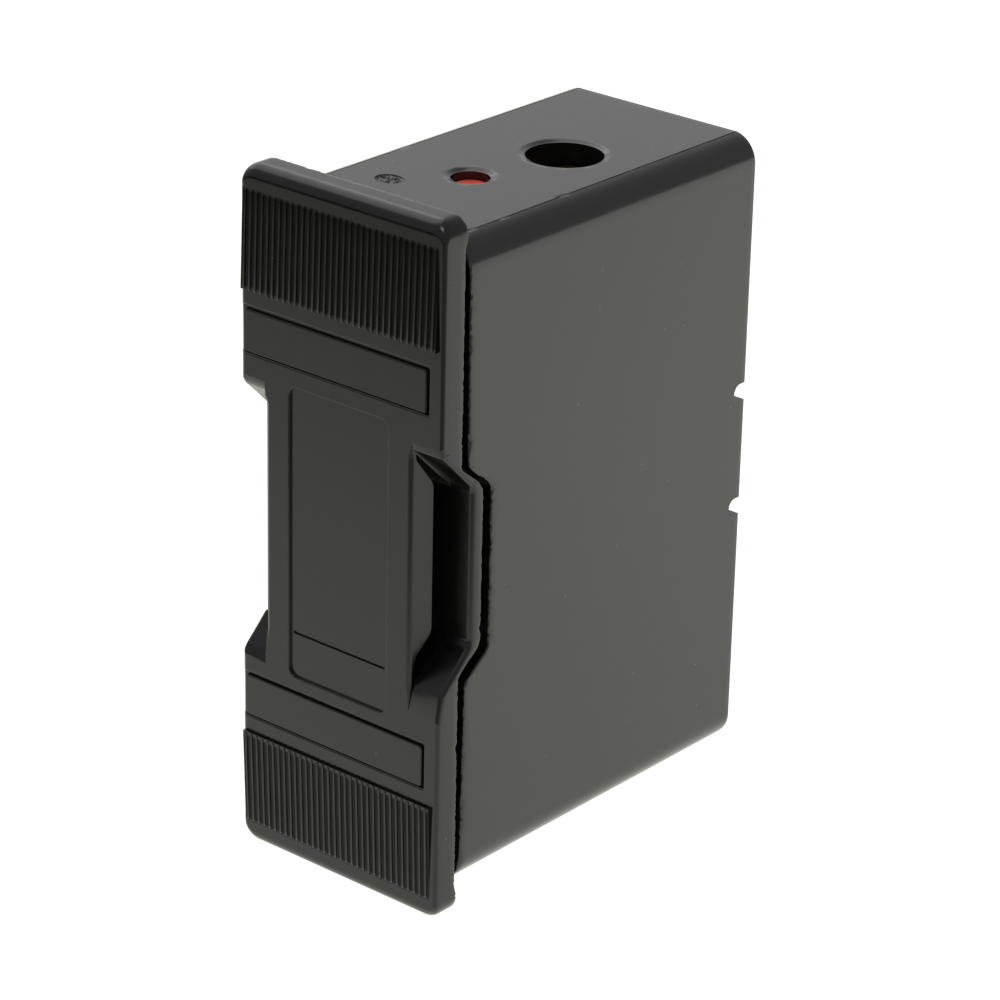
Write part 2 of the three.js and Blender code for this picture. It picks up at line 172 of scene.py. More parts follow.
def prism_x(name, profile, x0, x1):
    """A bar along X with a profile in Y and Z."""
    return loft(name, [[(x, y, z) for y, z in profile] for x in (x0, x1)])


def block(name, x, y, z, edge=0.0):
    """A box given by its three ranges, with rounded edges where edge is more than 0."""
    obj = loft(name, [[(x[0], y[0], h), (x[1], y[0], h), (x[1], y[1], h), (x[0], y[1], h)] for h in z])
    if edge:
        modifier = obj.modifiers.new("edges", "BEVEL")
        modifier.width = edge
        modifier.segments = 3
        bake(obj)
    return obj


def lathe(name, profile, centre, axis="Z", count=64):
    """A turned solid. profile is (radius, height) pairs, first and last on the axis."""
    rings = []
    for r, h in profile[1:-1]:
        ring = []
        for i in range(count):
            a = 2 * math.pi * i / count
            u, v = r * math.cos(a), r * math.sin(a)
            u, v = centre[0] + u, centre[1] + v
            ring.append((u, v, h) if axis == "Z" else (u, h, v))
        rings.append(ring)
    return loft(name, rings)


def bake(obj):
    """Applies the object's modifiers to its mesh."""
    graph = bpy.context.evaluated_depsgraph_get()
    mesh = bpy.data.meshes.new_from_object(obj.evaluated_get(graph))
    obj.modifiers.clear()
    obj.data = mesh


def carve(body, tool, operation="DIFFERENCE"):
    """Cuts, joins or intersects body with tool, and uses the tool up."""
    modifier = body.modifiers.new("carve", "BOOLEAN")
    modifier.operation = operation
    modifier.solver = "MANIFOLD"
    modifier.object = tool
    bake(body)
    bpy.data.objects.remove(tool)


def join(body, tool):
    carve(body, tool, "UNION")


def mirrored(obj):
    """A copy mirrored in X, whose faces still point out."""
    copy = obj.copy()
    copy.data = obj.data.copy()
    scene.collection.objects.link(copy)
    copy.data.transform(Matrix.Diagonal((-1, 1, 1, 1)))
    copy.data.flip_normals()
    return copy


def fillet(points, radii, steps=8):
    """An open line of 2D points with its corners rounded to the given radii."""
    out = [Vector(points[0])]
    for k in range(1, len(points) - 1):
        a, b, c = Vector(points[k - 1]), Vector(points[k]), Vector(points[k + 1])
        r = radii[k - 1]
        if not r:
            out.append(b)
            continue
        u, v = (a - b).normalized(), (c - b).normalized()
        half = u.angle(v) / 2
        reach = r / math.tan(half)
        centre = b + (u + v).normalized() * (r / math.sin(half))
        start, end = b + u * reach - centre, b + v * reach - centre
        sweep = start.angle_signed(end)
        for i in range(steps + 1):
            out.append(centre + Matrix.Rotation(-sweep * i / steps, 2) @ start)
    out.append(Vector(points[-1]))
    return out


def quarter(radius, steps=5):
    """(inset, depth) pairs round a quarter circle, from a face's inner edge to its side."""
    pairs = []
    for i in range(steps + 1):
        a = math.pi / 2 * i / steps
        pairs.append((radius * (1 - math.sin(a)), radius * (1 - math.cos(a))))
    return pairs


def corner_arc(half_x, half_z, r, crease, count, lip):
    """The corner at +X +Z, from its side to its end face, with an optional flash lip at the crease."""
    cx, cz = half_x - r, half_z - r * math.cos(crease)
    end = math.pi / 2 - crease
    angles = [end * i / count for i in range(count + 1)]
    arc = [(cx + r * math.cos(a), cz + r * math.sin(a)) for a in angles]
    if lip is not None:
        x, z = arc[-1]
        arc[-1] = (x + 0.11, z - 0.02)
        arc += [(x + 0.03, z + lip), (x - 0.03, z + lip), (x - 0.09, z)]
    return arc


def outline(half_x, half_z, r, crease=0.0, sides=240, ends=44, count=10, lip=None):
    """A rounded rectangle in X and Z: up the +X side, over the top, down the -X side and back."""
    arc = corner_arc(half_x, half_z, r, crease, count, lip)
    side_z, end_x = arc[0][1], arc[-1][0]
    points = [(half_x, side_z * (2 * i / sides - 1)) for i in range(sides)]
    points += arc
    points += [(end_x * (1 - 2 * i / ends), half_z) for i in range(1, ends)]
    points += [(-x, z) for x, z in reversed(arc)]
    points += [(-half_x, side_z * (1 - 2 * i / sides)) for i in range(1, sides)]
    points += [(-x, -z) for x, z in arc]
    points += [(end_x * (2 * i / ends - 1), -half_z) for i in range(1, ends)]
    points += [(x, -z) for x, z in reversed(arc[1:])]
    return points


def grown(points, distance):
    """The closed outline moved outwards; distance is one number or one for each point."""
    n = len(points)
    moves = distance if isinstance(distance, list) else [distance] * n
    out = []
    for i, (x, z) in enumerate(points):
        a, b = points[i - 1], points[(i + 1) % n]
        tangent = Vector((b[0] - a[0], b[1] - a[1])).normalized()
        out.append((x + tangent.y * moves[i], z - tangent.x * moves[i]))
    return out


def ring(points, ys):
    """The outline at one Y, or at one Y for each point."""
    heights = ys if isinstance(ys, list) else [ys] * len(points)
    return [(x, y, z) for (x, z), y in zip(points, heights)]


def ramp(t, soft=0.3):
    """0 to 1 in a straight line with soft ends."""
    t = min(max(t, 0.0), 1.0)
    k = 2 * soft * (1 - soft)
    if t < soft:
        return t * t / k
    if t > 1 - soft:
        return 1 - (1 - t) ** 2 / k
    return (t - soft / 2) / (1 - soft)


def waist(z, step, y_outer):
    """The seam's Y at a height, stepped back between the finger grips."""
    t = (abs(z - step["middle"]) - step["inner"]) / (step["outer"] - step["inner"])
    return step["y"] + (y_outer - step["y"]) * ramp(t)


def bow(x, z, half_x, half_z, amount):
    """A long wall's slight warp: amount at the middle of the side, nothing at the ends."""
    if abs(x) < half_x - 0.01:
        return 0.0
    return amount * (1 - min(1.0, abs(z) / half_z) ** 2)


def chipped(points, radius, seed, amount):
    """An edge radius for each point of an outline, with small moulding chips along it."""
    out = []
    for x, z in points:
        fine = noise.noise(Vector((x * 2.7, seed, z * 2.7)))
        chip = max(0.0, noise.noise(Vector((x * 0.55, seed + 9.0, z * 0.55))) - 0.28)
        out.append(radius * (1 + 0.8 * fine) + amount * chip)
    return out


def nibbled(heights, points, amount, seed):
    """An edge's Y values, eaten back unevenly by up to half the amount, as flash breaks away."""
    return [y + amount * abs(noise.noise(Vector((x * 1.9, seed, z * 1.9))))
            for y, (x, z) in zip(heights, points)]


def finish(obj, body, slot, material, *nodes):
    """Turns a shaped solid into a finished piece: metres, smooth shading, material and body."""
    obj.data.transform(Matrix.Scale(MM, 4))
    bm = bmesh.new()
    bm.from_mesh(obj.data)
    bmesh.ops.remove_doubles(bm, verts=bm.verts, dist=1e-6)
    bmesh.ops.dissolve_degenerate(bm, edges=bm.edges, dist=1e-6)
    for face in bm.faces:
        face.smooth = True
    for edge in bm.edges:
        edge.smooth = len(edge.link_faces) == 2 and edge.calc_face_angle(0.0) < SHARP_ANGLE
    bm.to_mesh(obj.data)
    bm.free()
    modifier = obj.modifiers.new("normals", "WEIGHTED_NORMAL")
    modifier.keep_sharp = True
    obj.data.materials.clear()
    obj.data.materials.append(material)
    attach(obj, body)
    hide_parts(*nodes)


# ---- base housing -------------------------------------------------------------------

def base_shell(name):
    """The open box: outer walls with a stepped seam edge, inner walls and floor, in one skin."""
    low, high = (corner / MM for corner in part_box("base_housing"))
    outer = outline(high.x, high.z, BASE_CORNER_R, BASE_CREASE, lip=0.0)
    inner = outline(high.x - SIDE_WALL, high.z - END_WALL, BASE_INNER_R, lip=0.0)

    def seam(points):
        half_x = max(x for x, _ in points)
        return [waist(z, BASE_WAIST, low.y + bow(x, z, half_x, high.z, WALL_BOW)) for x, z in points]

    rings = [ring(grown(outer, -inset), -depth) for inset, depth in quarter(BASE_BACK_EDGE_R)]
    front = nibbled(seam(outer), outer, 0.3, 31.0)
    edge = chipped(outer, BASE_SEAM_EDGE_R, 3.0, 0.9)
    steps = 64
    for i in range(1, steps + 1):
        t = i / steps
        ys = [-BASE_BACK_EDGE_R + (y + r + BASE_BACK_EDGE_R) * t for y, r in zip(front, edge)]
        lip = -0.11 + 0.16 * noise.noise(Vector((0.8 * i, 4.0, 0.5)))
        wall = outline(high.x, high.z, BASE_CORNER_R, BASE_CREASE, lip=lip)
        rings.append(ring(wall, ys))
    for inset, depth in reversed(quarter(1.0, 4)[:-1]):
        moved = [-inset * r for r in edge]
        rings.append(ring(grown(outer, moved), [y + r * depth for y, r in zip(front, edge)]))
    inside = seam(inner)
    for inset, depth in quarter(0.2, 3):
        rings.append(ring(grown(inner, inset), [y + depth for y in inside]))
    rings.append(ring(inner, FLOOR - 0.6))
    for inset, depth in reversed(quarter(0.6, 4)[:-1]):
        rings.append(ring(grown(inner, -inset), FLOOR - depth))
    return loft(name, rings)


def groove_tool(z0, z1):
    """A groove across the back, round in its upper inner corner, with softened mouths."""
    d = GROOVE_DEPTH
    profile = fillet(
        [(1.0, z0 - 0.25), (0.0, z0 - 0.25), (0.0, z0), (-d, z0), (-d, z1), (0.0, z1), (0.0, z1 + 0.25),
         (1.0, z1 + 0.25)],
        [0, 0.24, 0.25, 1.0, 0.24, 0],
    )
    return prism_x("groove", profile, -20, 20)


def hole_tool(hole, side, z_in, z_top):
    """A round hole through an end wall, with a dished mouth."""
    r, mouth, dish = hole["r"], hole["mouth"], hole["dish"]
    low = z_top - dish - 0.12
    profile = [(0, z_in), (r, z_in), (r, low)]
    for i in range(1, 7):
        t = i / 6
        profile.append((r + (mouth - r) * t, low + (dish + 0.04) * (1 - (1 - t) ** 2) ** 0.5 * t))
    profile += [(mouth + 0.16, z_top), (mouth + 0.16, z_top + 1), (0, z_top + 1)]
    return lathe("hole", [(rr, side * zz) for rr, zz in profile], (hole["x"], hole["y"]), "Z", 72)


def bore_tool(r, ends, centre, axis="Z", count=64):
    """A plain round hole between two heights."""
    return lathe("bore", [(0, ends[0]), (r, ends[0]), (r, ends[1]), (0, ends[1])], centre, axis, count)


def base_housing():
    """The housing: contact seats and terminal supports inside, holes in its ends and back."""
    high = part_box("base_housing")[1] / MM
    body = base_shell("base_housing_shell")
    for z0, z1 in BACK_GROOVES:
        carve(body, groove_tool(z0, z1))
    in_x, in_z = high.x - SIDE_WALL, high.z - END_WALL
    supports = (
        ((-5.0, 5.0), (-36.5, -25.5), (29.8, in_z + 0.6)),
        ((1.0, 7.0), (-12.3, FLOOR + 0.5), (25.5, 31.0)),
        ((-in_x - 0.5, in_x + 0.5), (-12.0, FLOOR + 0.5), (20.5, 22.0)),
    )
    for side in (1, -1):
        for x, y, z in supports:
            join(body, block("inner", x, y, sorted(side * v for v in z), 0.25))
        carve(body, hole_tool(CABLE_HOLE, side, in_z - 1, high.z))
        carve(body, hole_tool(SEAL_HOLE, side, 31.3, high.z))
        carve(body, bore_tool(CONTACT_SCREW_R, (side * 28, side * 32), (SEAL_HOLE["x"], SEAL_HOLE["y"])))
        centre, seat_y = (0, side * FIXING_HOLE["z"]), FLOOR + FIXING_HOLE["seat_depth"]
        carve(body, bore_tool(FIXING_HOLE["r"], (-5, 1.0), centre, "Y", 48))
        carve(body, bore_tool(FIXING_HOLE["seat_r"], (-5, seat_y), centre, "Y", 48))
    carve(body, moulded_mark(high.z))
    for v in body.data.vertices:
        share = (LOWER_END["start"] - v.co.z) / LOWER_END["over"]
        v.co.z -= LOWER_END["growth"] * min(1.0, max(0.0, share))
    return body


def moulded_mark(z):
    """A tool for the small oval pit with a rough floor beside the plug."""
    circle = [(math.cos(2 * math.pi * i / 48), math.sin(2 * math.pi * i / 48)) for i in range(48)]
    points = [(MARK["rx"] * c, MARK["ry"] * s) for c, s in circle]
    rings = [[(MARK["x"] + 1.05 * x, MARK["y"] + 1.05 * y, z + up) for x, y in points] for up in (0.5, 0.001)]
    for t in (1.0, 0.95, 0.86, 0.77, 0.68, 0.59, 0.5, 0.41, 0.32, 0.23, 0.14, 0.05):
        floor = []
        for x, y in points:
            bump = 0.28 * noise.noise(Vector((x * t * 3.6, y * t * 3.6, 3.0))) if t < 1 else 0.0
            floor.append((MARK["x"] + t * x, MARK["y"] + t * y, z - MARK["depth"] + bump))
        rings.append(floor)
    return loft("mark", rings)


# ---- carrier ------------------------------------------------------------------------

def flange(name):
    """The front plate with its rounded edge, thickened backwards between the finger grips."""
    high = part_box("carrier_body")[1] / MM
    middle, half_x = sum(FLANGE_X) / 2, (FLANGE_X[1] - FLANGE_X[0]) / 2
    edge = outline(half_x, high.z, FLANGE_CORNER_R, sides=260, ends=60, count=12)
    shape = [(x + middle, z) for x, z in edge]
    edge_r = []
    for x, z in shape:
        t = min(1.0, max(0.0, (abs(z) - high.z + FLANGE_CORNER_R) / FLANGE_CORNER_R))
        side_r = FLANGE_SIDE_EDGE_R[1 if x > 0 else -1]
        edge_r.append(side_r + (FLANGE_EDGE_R - side_r) * t)
    back = [waist(z if x > 0 else z * 0.95, RIM_WAIST, FLANGE_BACK_Y) for x, z in shape]
    chips = chipped(shape, FLANGE_BACK_EDGE_R, 21.0, 0.7)
    rebate = [SIDE_REBATE * min(1.0, max(0.0, (36.8 - abs(z)) / 1.5)) if x > 11.5 else 0.0
              for x, z in shape]
    rings = []
    for inset, depth in quarter(1.0, 9):
        moved = [-inset * r for r in edge_r]
        rings.append(ring(grown(shape, moved), [FRONT_Y + depth * r for r in edge_r]))
    side = nibbled([y - step for y, step in zip(back, rebate)], shape, -0.24, 47.0)
    for t in (0.35, 0.7):
        ys = [FRONT_Y + e + (y - r - FRONT_Y - e) * t for y, r, e in zip(side, chips, edge_r)]
        rings.append(ring(shape, ys))
    for inset, depth in reversed(quarter(1.0, 4)):
        moved = [-inset * r for r in chips]
        rings.append(ring(grown(shape, moved), [y - r * depth for y, r in zip(side, chips)]))
    inner = [-0.75 if step > 0.02 else -r - 0.05 for step, r in zip(rebate, chips)]
    rings.append(ring(grown(shape, inner), [y + 0.01 for y in side]))
    rings.append(ring(grown(shape, [d - 0.03 for d in inner]), [y + 0.02 for y in back]))
    return loft(name, rings, last_cap=stepped_cap(shape, RIM_WAIST["outer"] + 1.6))


def stepped_cap(shape, z_flat):
    """Faces that close an outline whose Y changes with Z: strips across the waist, flat ends beyond."""
    n = len(shape)
    right = [i for i in range(n) if shape[i][0] > 0 and abs(shape[i][1]) < z_flat]
    right.sort(key=lambda i: shape[i][1])
    left = [i for i in range(n) if shape[i][0] < 0 and abs(shape[i][1]) < z_flat]
    left.sort(key=lambda i: shape[i][1])
    faces = [(right[k], right[k + 1], left[k + 1], left[k]) for k in range(len(right) - 1)]
    faces.append(tuple(range(right[-1], left[-1] + 1)))
    faces.append(tuple(i % n for i in range(left[0], n + right[0] + 1)))
    return faces


def pocket_line(side):
    """A finger pocket's outline in Y and Z: floor, slopes, and the run-out to the face."""
    halves = []
    for end in ("upper", "lower"):
        (floor_z, y, z), face_z, soft = POCKET_ENDS[side][end]
        corners = [(POCKET_FLOOR_Y, 0.0), (POCKET_FLOOR_Y, floor_z), (y, z), (FRONT_Y - 0.01, face_z),
                   (FRONT_Y - 0.05, face_z + 1.6)]
        line = fillet(corners, (POCKET_FLOOR_R, *soft), 9)[1:-1]
        halves.append(line + [Vector((-53.0, face_z + 1.6))])
    upper, lower = halves
    return [Vector((p.x, -p.y)) for p in reversed(lower)] + upper


def face_depth(z):
    """How deep the right pocket is below the face at a height."""
    depth = 0.0
    line = pocket_line(1)
    for p, q in zip(line, line[1:]):
        if min(p.y, q.y) <= z <= max(p.y, q.y) and abs(p.y - q.y) > 1e-6:
            depth = max(depth, p.x + (q.x - p.x) * (z - p.y) / (q.y - p.y) - FRONT_Y)
    return depth


def pocket_tool(side, half_x):
    """The open corner beside the middle plate; its sides flare out to round the rim."""
    line = pocket_line(side)
    normals = []
    for i, p in enumerate(line):
        a, b = line[max(i - 1, 0)], line[min(i + 1, len(line) - 1)]
        t = (b - a).normalized()
        normals.append(Vector((t.y, -t.x)))
    normals[0], normals[-1] = Vector((0, -1)), Vector((0, 1))
    flare = POCKET_RIM_R
    stations = [(PLATE_X[side], 0.0), (half_x - flare, 0.0)]
    for i in range(1, 8):
        a = math.pi / 2 * i / 7
        stations.append((half_x - flare + flare * math.sin(a), flare * (1 - math.cos(a))))
    stations.append((half_x + 1.0, flare))
    rings = [[(side * x, p.x + q.x * grow, p.y + q.y * grow) for p, q in zip(line, normals)]
             for x, grow in stations]
    rings[0] = [(side * (PLATE_X[side] + PLATE_DRAFT * (y - FRONT_Y)), y, z) for _, y, z in rings[0]]
    return loft("pocket", rings)


def slot_tool():
    """The finger slot behind the middle plate."""
    floor = POCKET_FLOOR_Y
    upper = fillet([(floor, 0.0), (floor, 8.9), (-50.3, 13.5), (-50.1, 12.6), (-48.0, 9.6), (-48.0, 0.0)],
                   [1.5, 0.1, 0.1, 1.6], 8)
    lower = fillet([(floor, 0.0), (floor, 8.0), (-49.95, 12.0), (-50.4, 13.0), (-50.3, 11.6), (-49.9, 9.2),
                    (-48.0, 6.9), (-48.0, 0.0)], [1.5, 0.3, 0.05, 0.8, 1.0, 1.2], 8)
    profile = [(p.x, -p.y) for p in reversed(lower[1:-1])] + [(p.x, p.y) for p in upper[1:-1]]
    return prism_x("slot", profile, SLOT_X, PLATE_X[1] + SLOT_REACH)


def plate_edge_tool():
    """Rounds the plate's long front edge, fading out where the pocket runs up to the face."""
    rings = []
    count = 44
    x = PLATE_X[1]
    for i in range(count + 1):
        z = PLATE_EDGE["z"] * (2 * i / count - 1)
        r = max(0.02, min(PLATE_EDGE["r"], 0.8 * face_depth(z)))
        corners = [(x - 3, FRONT_Y), (x, FRONT_Y), (x + 3 * PLATE_DRAFT, FRONT_Y + 3)]
        arc = [(p.x, p.y) for p in reversed(fillet(corners, [r], 6)[1:-1])]
        plan = [(x + 0.5, arc[0][1])] + arc + [(arc[-1][0], FRONT_Y - 0.8), (x + 0.5, FRONT_Y - 0.8)]
        rings.append([(u, v, z) for u, v in plan])
    return loft("edge", rings)


def face_outline(x, z, r):
    """A small rounded rectangle on the face, as a function of how far it is grown."""
    middle_x, middle_z = sum(x) / 2, sum(z) / 2
    base = outline((x[1] - x[0]) / 2, (z[1] - z[0]) / 2, r, sides=8, ends=8, count=6)
    return lambda grow: [(u + middle_x, v + middle_z) for u, v in grown(base, grow)]


def rounded_pocket(name, x, z, r, depth, mouth):
    """A tool for a shallow rectangular recess in the face, with a rolled mouth and soft floor corners."""
    shape = face_outline(x, z, r)
    floor_r = RECESS_FLOOR_R
    stations = [(mouth, -0.6), (mouth, 0.0)]
    for i in range(1, 6):
        a = math.pi / 2 * i / 5
        stations.append((mouth * (1 - math.sin(a)), mouth * (1 - math.cos(a))))
    stations += [(0.0, depth - floor_r), (-0.3 * floor_r, depth - 0.3 * floor_r), (-floor_r, depth)]
    return loft(name, [ring(shape(grow), FRONT_Y + d) for grow, d in stations])


def raised_plate(name, x, z, r, top, bottom, edge):
    """A low plate on the face with a rounded upper edge. top and bottom are Y values."""
    shape = face_outline(x, z, r)
    rings = [ring(shape(-inset), top + depth) for inset, depth in quarter(edge, 4)]
    return loft(name, rings + [ring(shape(0.0), bottom)])


def label_recess(body, side):
    """A label window: a recess whose floor plate leaves a narrow gap along its top and right side."""
    z = (LABEL["z0"], LABEL["z1"]) if side > 0 else (-LABEL["z1"], -LABEL["z0"])
    x = (LABEL["x0"] - 1.5, LABEL["x1"])
    carve(body, rounded_pocket("label", x, z, 0.25, LABEL["depth"], LABEL["mouth"]))
    plate_x = (LABEL["x0"] - 0.5, x[1] - LABEL["gap"])
    plate_z = (z[0] - 0.02, z[1] - LABEL["gap"])
    join(body, raised_plate("tile", plate_x, plate_z, 0.4, FRONT_Y + LABEL["floor"], FRONT_Y + 1.2, 0.2))


def rib_profile():
    """(x, share of the groove's depth) pairs across the ribbed pad."""
    shape = ((0.0, 1.0), (0.3, 1.0), (0.33, 0.92), (0.345, 0.5), (0.355, 0.1), (0.365, 0.0),
             (0.635, 0.0), (0.645, 0.1), (0.655, 0.5), (0.67, 0.92), (0.7, 1.0))
    half = RIBS["count"] * RIBS["pitch"] / 2
    pairs = []
    for i in range(RIBS["count"]):
        pairs += [(-half + (i + u) * RIBS["pitch"], share) for u, share in shape]
    return [(-half - 0.05, 1.0)] + pairs + [(half + 0.05, 1.0)]


def rib_pad(side):
    """The ribbed finger pad: ribs stand proud at the grip end and sink level with the face outwards."""
    across = rib_profile()
    length = RIBS["z1"] - RIBS["z0"]
    end_r = 0.22
    rows = [end_r * (1 - math.cos(math.pi / 2 * k / 4)) for k in range(5)]
    rows += [length * t for t in (0.25, 0.5, 0.75)]
    rows += [length - 0.5 + 0.5 * math.sin(math.pi / 2 * k / 4) for k in range(5)]
    back = FRONT_Y + 1.0
    verts, faces = [], []
    for k, along in enumerate(rows):
        proud = RIBS["proud"] - math.tan(RIBS["lean"]) * along
        drop = end_r - math.sqrt(max(0.0, end_r ** 2 - max(0.0, end_r - along) ** 2))
        out = max(0.0, along - (length - 0.5)) / 0.5
        for x, share in across:
            crest = FRONT_Y - proud + drop + 0.12 * out * out * (1 - share)
            groove = FRONT_Y - proud + RIBS["height"]
            wander = 0.04 * noise.noise(Vector((x * 2.9, along * 1.1, 7.0)))
            y = crest + (groove - crest) * share + wander * share
            verts.append((x, y, RIBS["z0"] + along))
    columns = len(across)
    top = len(verts)
    for k in (0, len(rows) - 1):
        verts += [(x, back, RIBS["z0"] + rows[k] + (-0.05 if k == 0 else 0.05)) for x, _ in across]
    first, last = top, top + columns
    for k in range(len(rows) - 1):
        a, b = k * columns, (k + 1) * columns
        faces += [(a + i, a + i + 1, b + i + 1, b + i) for i in range(columns - 1)]
    end = (len(rows) - 1) * columns
    for i in range(columns - 1):
        faces.append((i, first + i, first + i + 1, i + 1))
        faces.append((end + i, end + i + 1, last + i + 1, last + i))
        faces.append((first + i, last + i, last + i + 1, first + i + 1))
    faces.append(tuple([first] + [k * columns for k in range(len(rows))] + [last]))
    faces.append(tuple([first + columns - 1] + [k * columns + columns - 1 for k in range(len(rows))]
                       + [last + columns - 1]))
    return mesh_object("ribs", [(x, y, side * z) for x, y, z in verts], faces)


def carrier_body():
    """The carrier: flange, core, walls and cradles round the fuse link, grips and face relief."""
    body = flange("carrier_moulding")
    core_x, core_y, core_z = CORE["x"], CORE["y"], CORE["z"]
    join(body, block("core", (-core_x, core_x), (FLANGE_BACK_Y - 1, core_y), (-core_z, core_z), 0.3))
    inner = core_x - SHROUD["wall"]
    for side in (1, -1):
        x = sorted((side * inner, side * core_x))
        join(body, block("wall", x, (core_y - 1, SHROUD["y"]), (-SHROUD["z"], SHROUD["z"]), 0.25))
        cradle = sorted((side * 5.0, side * 7.0))
        join(body, block("cradle", (-core_x + 0.5, core_x - 0.5), (core_y - 1, -36.5), cradle, 0.2))
    carve(body, bore_tool(FUSE_BED["r"], (-SHROUD["z"], SHROUD["z"]), (0, FUSE_BED["y"]), count=72))
    slot, edge = slot_tool(), plate_edge_tool()
    tools = [pocket_tool(1, FLANGE_X[1]), pocket_tool(-1, -FLANGE_X[0]), slot, edge]
    for tool in tools + [mirrored(slot), mirrored(edge)]:
        carve(body, tool)
    half = RIBS["count"] * RIBS["pitch"] / 2
    for side in (1, -1):
        z = sorted((side * RIBS["z0"], side * RIBS["z1"]))
        carve(body, block("bed", (-half, half), (FRONT_Y - 3, FRONT_Y + 0.6), z))
        join(body, rib_pad(side))
        label_recess(body, side)
        centre = (CARRIER_SCREW["x"], side * CARRIER_SCREW["z"])
        ends = (CARRIER_SCREW["end_y"], core_y + 1)
        carve(body, bore_tool(CARRIER_SCREW["r"], ends, centre, "Y", 32))
    panel_x, panel_z = (-PANEL["x"], PANEL["x"]), (PANEL["z0"], PANEL["z1"])
    carve(body, rounded_pocket("panel", panel_x, panel_z, PANEL["r"], PANEL["depth"], PANEL["mouth"]))
    line, floor_y = PANEL["line_z"], FRONT_Y + PANEL["depth"]
    profile = [(floor_y - 0.3, line - 0.2), (floor_y - 0.3, line + 0.2),
               (floor_y + 0.2, line + 0.14), (floor_y + 0.2, line - 0.14)]
    carve(body, prism_x("line", profile, -PANEL["x"] + 0.4, PANEL["x"] - 0.4))
    return body


# ---- materials ----------------------------------------------------------------------

class Nodes:
    """A short way to write a material's nodes. Texture scales are in features per millimetre."""

    def __init__(self, name):
        self.material = bpy.data.materials.new(name)
        self.material.use_nodes = True
        self.tree = self.material.node_tree
        self.shader = self.tree.nodes["Principled BSDF"]
        self.place = self.tree.nodes.new("ShaderNodeTexCoord").outputs["Object"]
        self.height = None

    def link(self, value, socket):
        if isinstance(value, bpy.types.NodeSocket):
            self.tree.links.new(value, socket)
        else:
            socket.default_value = value

    def stretched(self, x, y, z):
        node = self.tree.nodes.new("ShaderNodeMapping")
        node.inputs["Scale"].default_value = (x, y, z)
        self.tree.links.new(self.place, node.inputs["Vector"])
        return node.outputs["Vector"]

    def noise(self, per_mm, detail=3.0, rough=0.55, vector=None):
        node = self.tree.nodes.new("ShaderNodeTexNoise")
        node.inputs["Scale"].default_value = per_mm / MM
        node.inputs["Detail"].default_value = detail
        node.inputs["Roughness"].default_value = rough
        self.tree.links.new(vector or self.place, node.inputs["Vector"])
        return node.outputs["Fac"]

    def cells(self, per_mm, vector=None, output="Distance"):
        node = self.tree.nodes.new("ShaderNodeTexVoronoi")
        node.inputs["Scale"].default_value = per_mm / MM
        self.tree.links.new(vector or self.place, node.inputs["Vector"])
        return node.outputs[output]

    def spread(self, value, low, high, to_low=0.0, to_high=1.0):
        node = self.tree.nodes.new("ShaderNodeMapRange")
        limits = (("From Min", low), ("From Max", high), ("To Min", to_low), ("To Max", to_high))
        for key, number in limits:
            node.inputs[key].default_value = number
        self.tree.links.new(value, node.inputs["Value"])
        return node.outputs["Result"]

    def math(self, operation, a, b=0.0):
        node = self.tree.nodes.new("ShaderNodeMath")
        node.operation = operation
        self.link(a, node.inputs[0])
        self.link(b, node.inputs[1])
        return node.outputs[0]

    def mix(self, factor, a, b):
        node = self.tree.nodes.new("ShaderNodeMix")
        node.data_type = "RGBA"
        self.link(factor, node.inputs["Factor"])
        self.link(a, node.inputs["A"])
        self.link(b, node.inputs["B"])
        return node.outputs["Result"]

    def specks(self, per_mm, size, share):
        """1 inside scattered specks: small cells of a Voronoi pattern, kept for a share of them."""
        dots = self.spread(self.cells(per_mm), size, size * 0.55)
        colour = self.tree.nodes.new("ShaderNodeSeparateColor")
        self.tree.links.new(self.cells(per_mm, output="Color"), colour.inputs["Color"])
        kept = self.spread(colour.outputs["Red"], 1 - share, 1 - share + 0.01)
        return self.math("MULTIPLY", dots, kept)

    def bump(self, value, distance_mm, strength):
        node = self.tree.nodes.new("ShaderNodeBump")
        node.inputs["Strength"].default_value = strength
        node.inputs["Distance"].default_value = distance_mm * MM
        self.tree.links.new(value, node.inputs["Height"])
        if self.height is not None:
            self.tree.links.new(self.height, node.inputs["Normal"])
        self.height = node.outputs["Normal"]
        self.tree.links.new(self.height, self.shader.inputs["Normal"])


def grey(value, warm=0.0):
    return (value * (1 + warm), value, value * (1 - warm), 1.0)


def black_moulding(name, tone, ior, rough_low, rough_high):
    """Satin black phenolic: mottled, finely grained, with dust and rub marks."""
    n = Nodes(name)
    mottle = n.noise(0.35, 4.0)
    grain = n.noise(5.0, 2.0, 0.6)
    colour = n.mix(n.spread(mottle, 0.35, 0.65), grey(tone * 0.8), grey(tone * 1.25, 0.02))
    colour = n.mix(n.spread(grain, 0.3, 0.7), colour, grey(tone * 1.15, 0.03))
    dust = n.specks(0.35, 0.05, 0.3)
    fibre = n.cells(0.16, n.stretched(1.0, 0.35, 0.12))
    rub = n.math("MULTIPLY", n.spread(fibre, 0.02, 0.0), n.spread(mottle, 0.55, 0.62))
    colour = n.mix(n.math("MULTIPLY", dust, 0.5), colour, grey(0.16, 0.04))
    colour = n.mix(n.math("MULTIPLY", rub, 0.5), colour, grey(0.12, 0.03))
    n.link(colour, n.shader.inputs["Base Color"])
    rough = n.spread(n.noise(0.8, 3.0), 0.3, 0.7, rough_low, rough_high)
    n.link(n.math("ADD", rough, n.math("MULTIPLY", rub, 0.2)), n.shader.inputs["Roughness"])
    n.shader.inputs["IOR"].default_value = ior
    n.bump(n.noise(0.12, 2.0), 0.05, 0.4)
    n.bump(grain, 0.004, 0.6)
    n.bump(dust, 0.02, 0.6)
    return n


